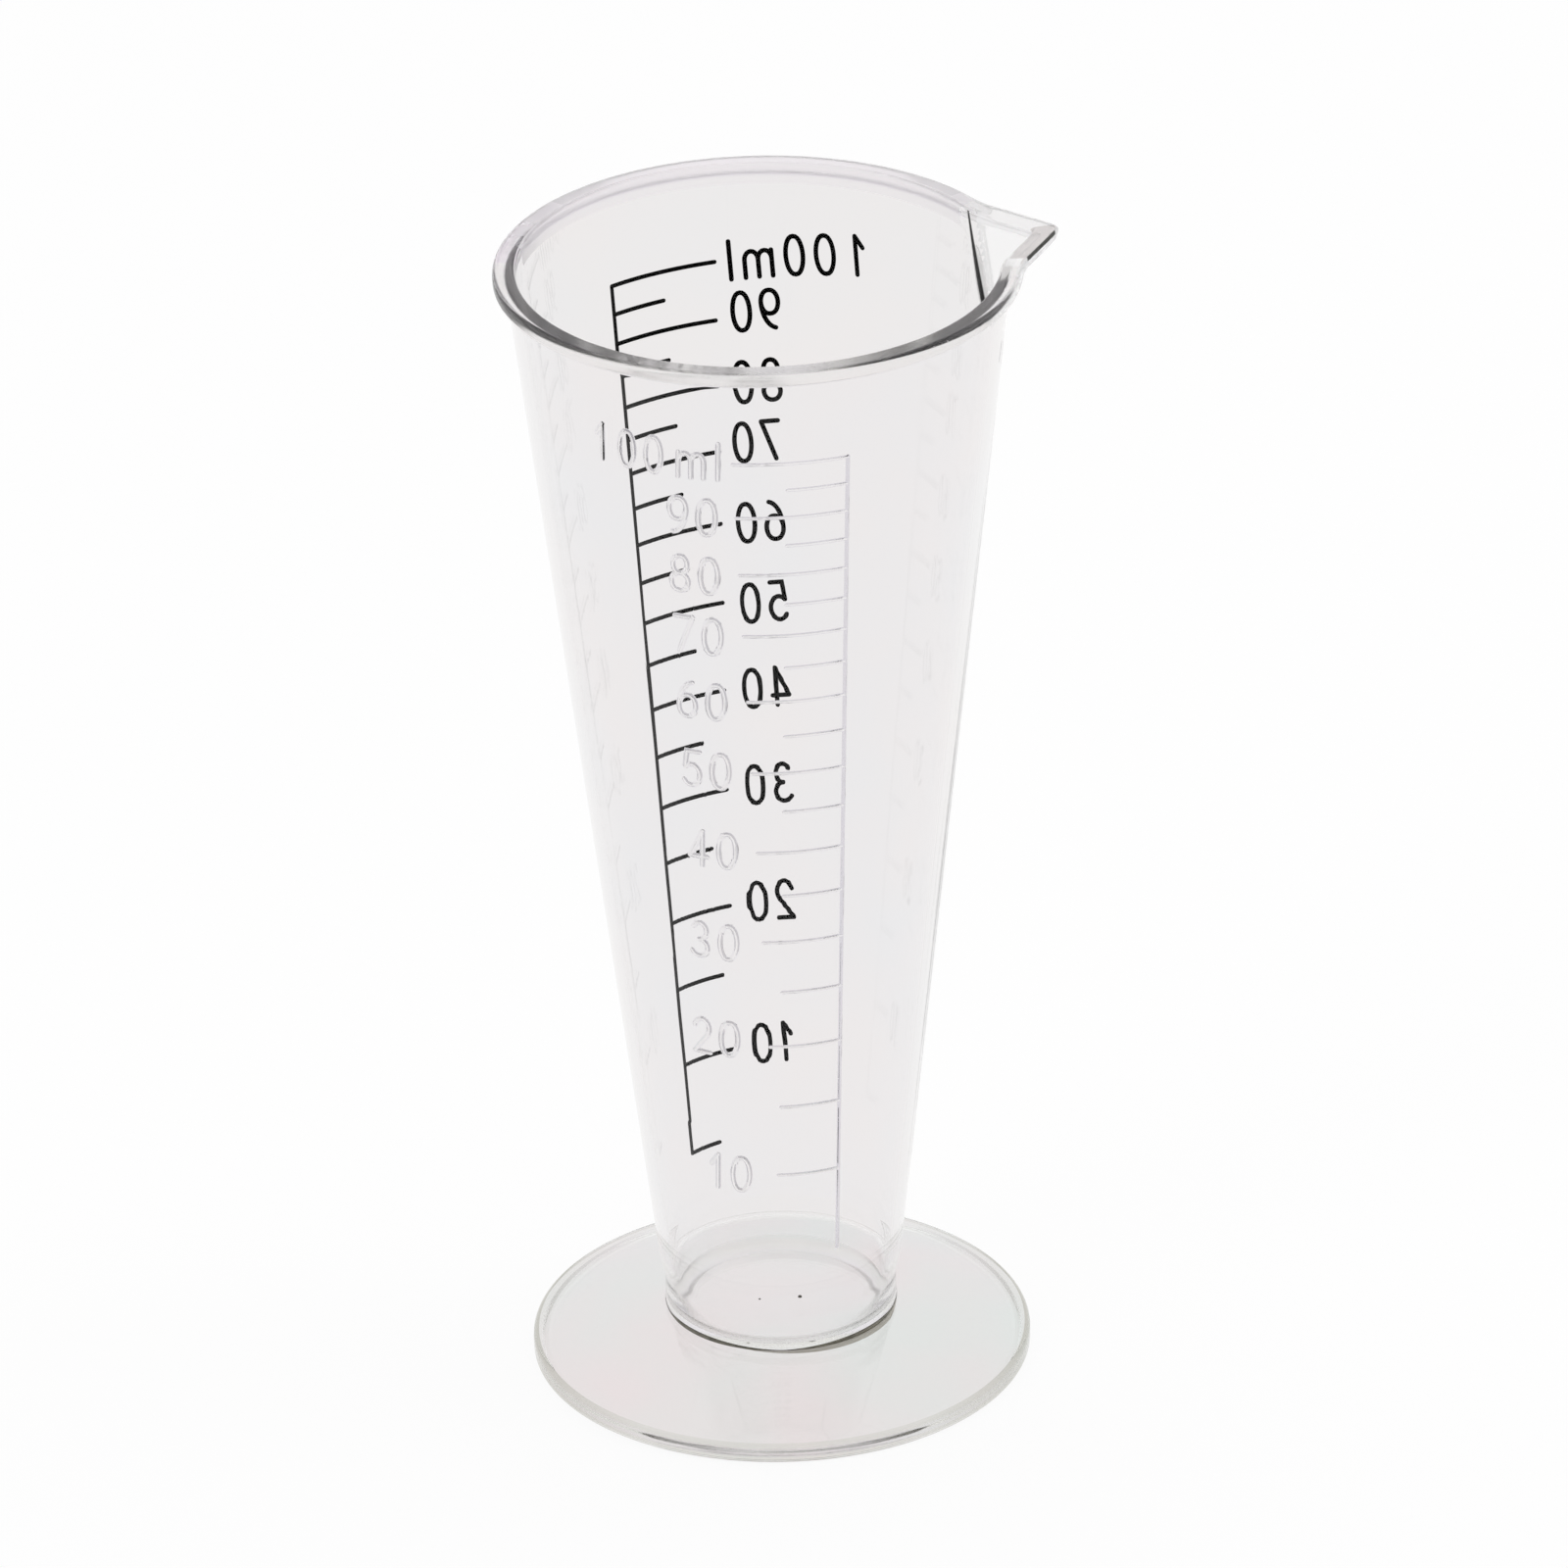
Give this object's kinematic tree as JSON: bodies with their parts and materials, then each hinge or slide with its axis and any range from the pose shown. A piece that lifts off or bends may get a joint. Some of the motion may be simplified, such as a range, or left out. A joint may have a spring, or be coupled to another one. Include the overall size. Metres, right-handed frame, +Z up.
{
  "type": "measuring cup",
  "caption": "Tall clear plastic conical measuring cup with a pouring spout, printed and moulded millilitre graduations, and a wide round foot.",
  "frame": {"origin": "on the standing plane, below the middle of the cup's outline seen from above, spout included", "axes": "+Z up along the cup's axis, +X towards the tip of the pouring spout, +Y completes the right-handed frame"},
  "size_m": [0.0576, 0.053, 0.1232],
  "materials": {
    "clear_plastic": "clear, polished, faintly cool tint",
    "black_ink": "thin screen-printed ink, satin"
  },
  "bodies": {
    "root": {"beaker": "clear_plastic", "foot": "clear_plastic", "printed_scale": "black_ink"}
  },
  "joints": []
}
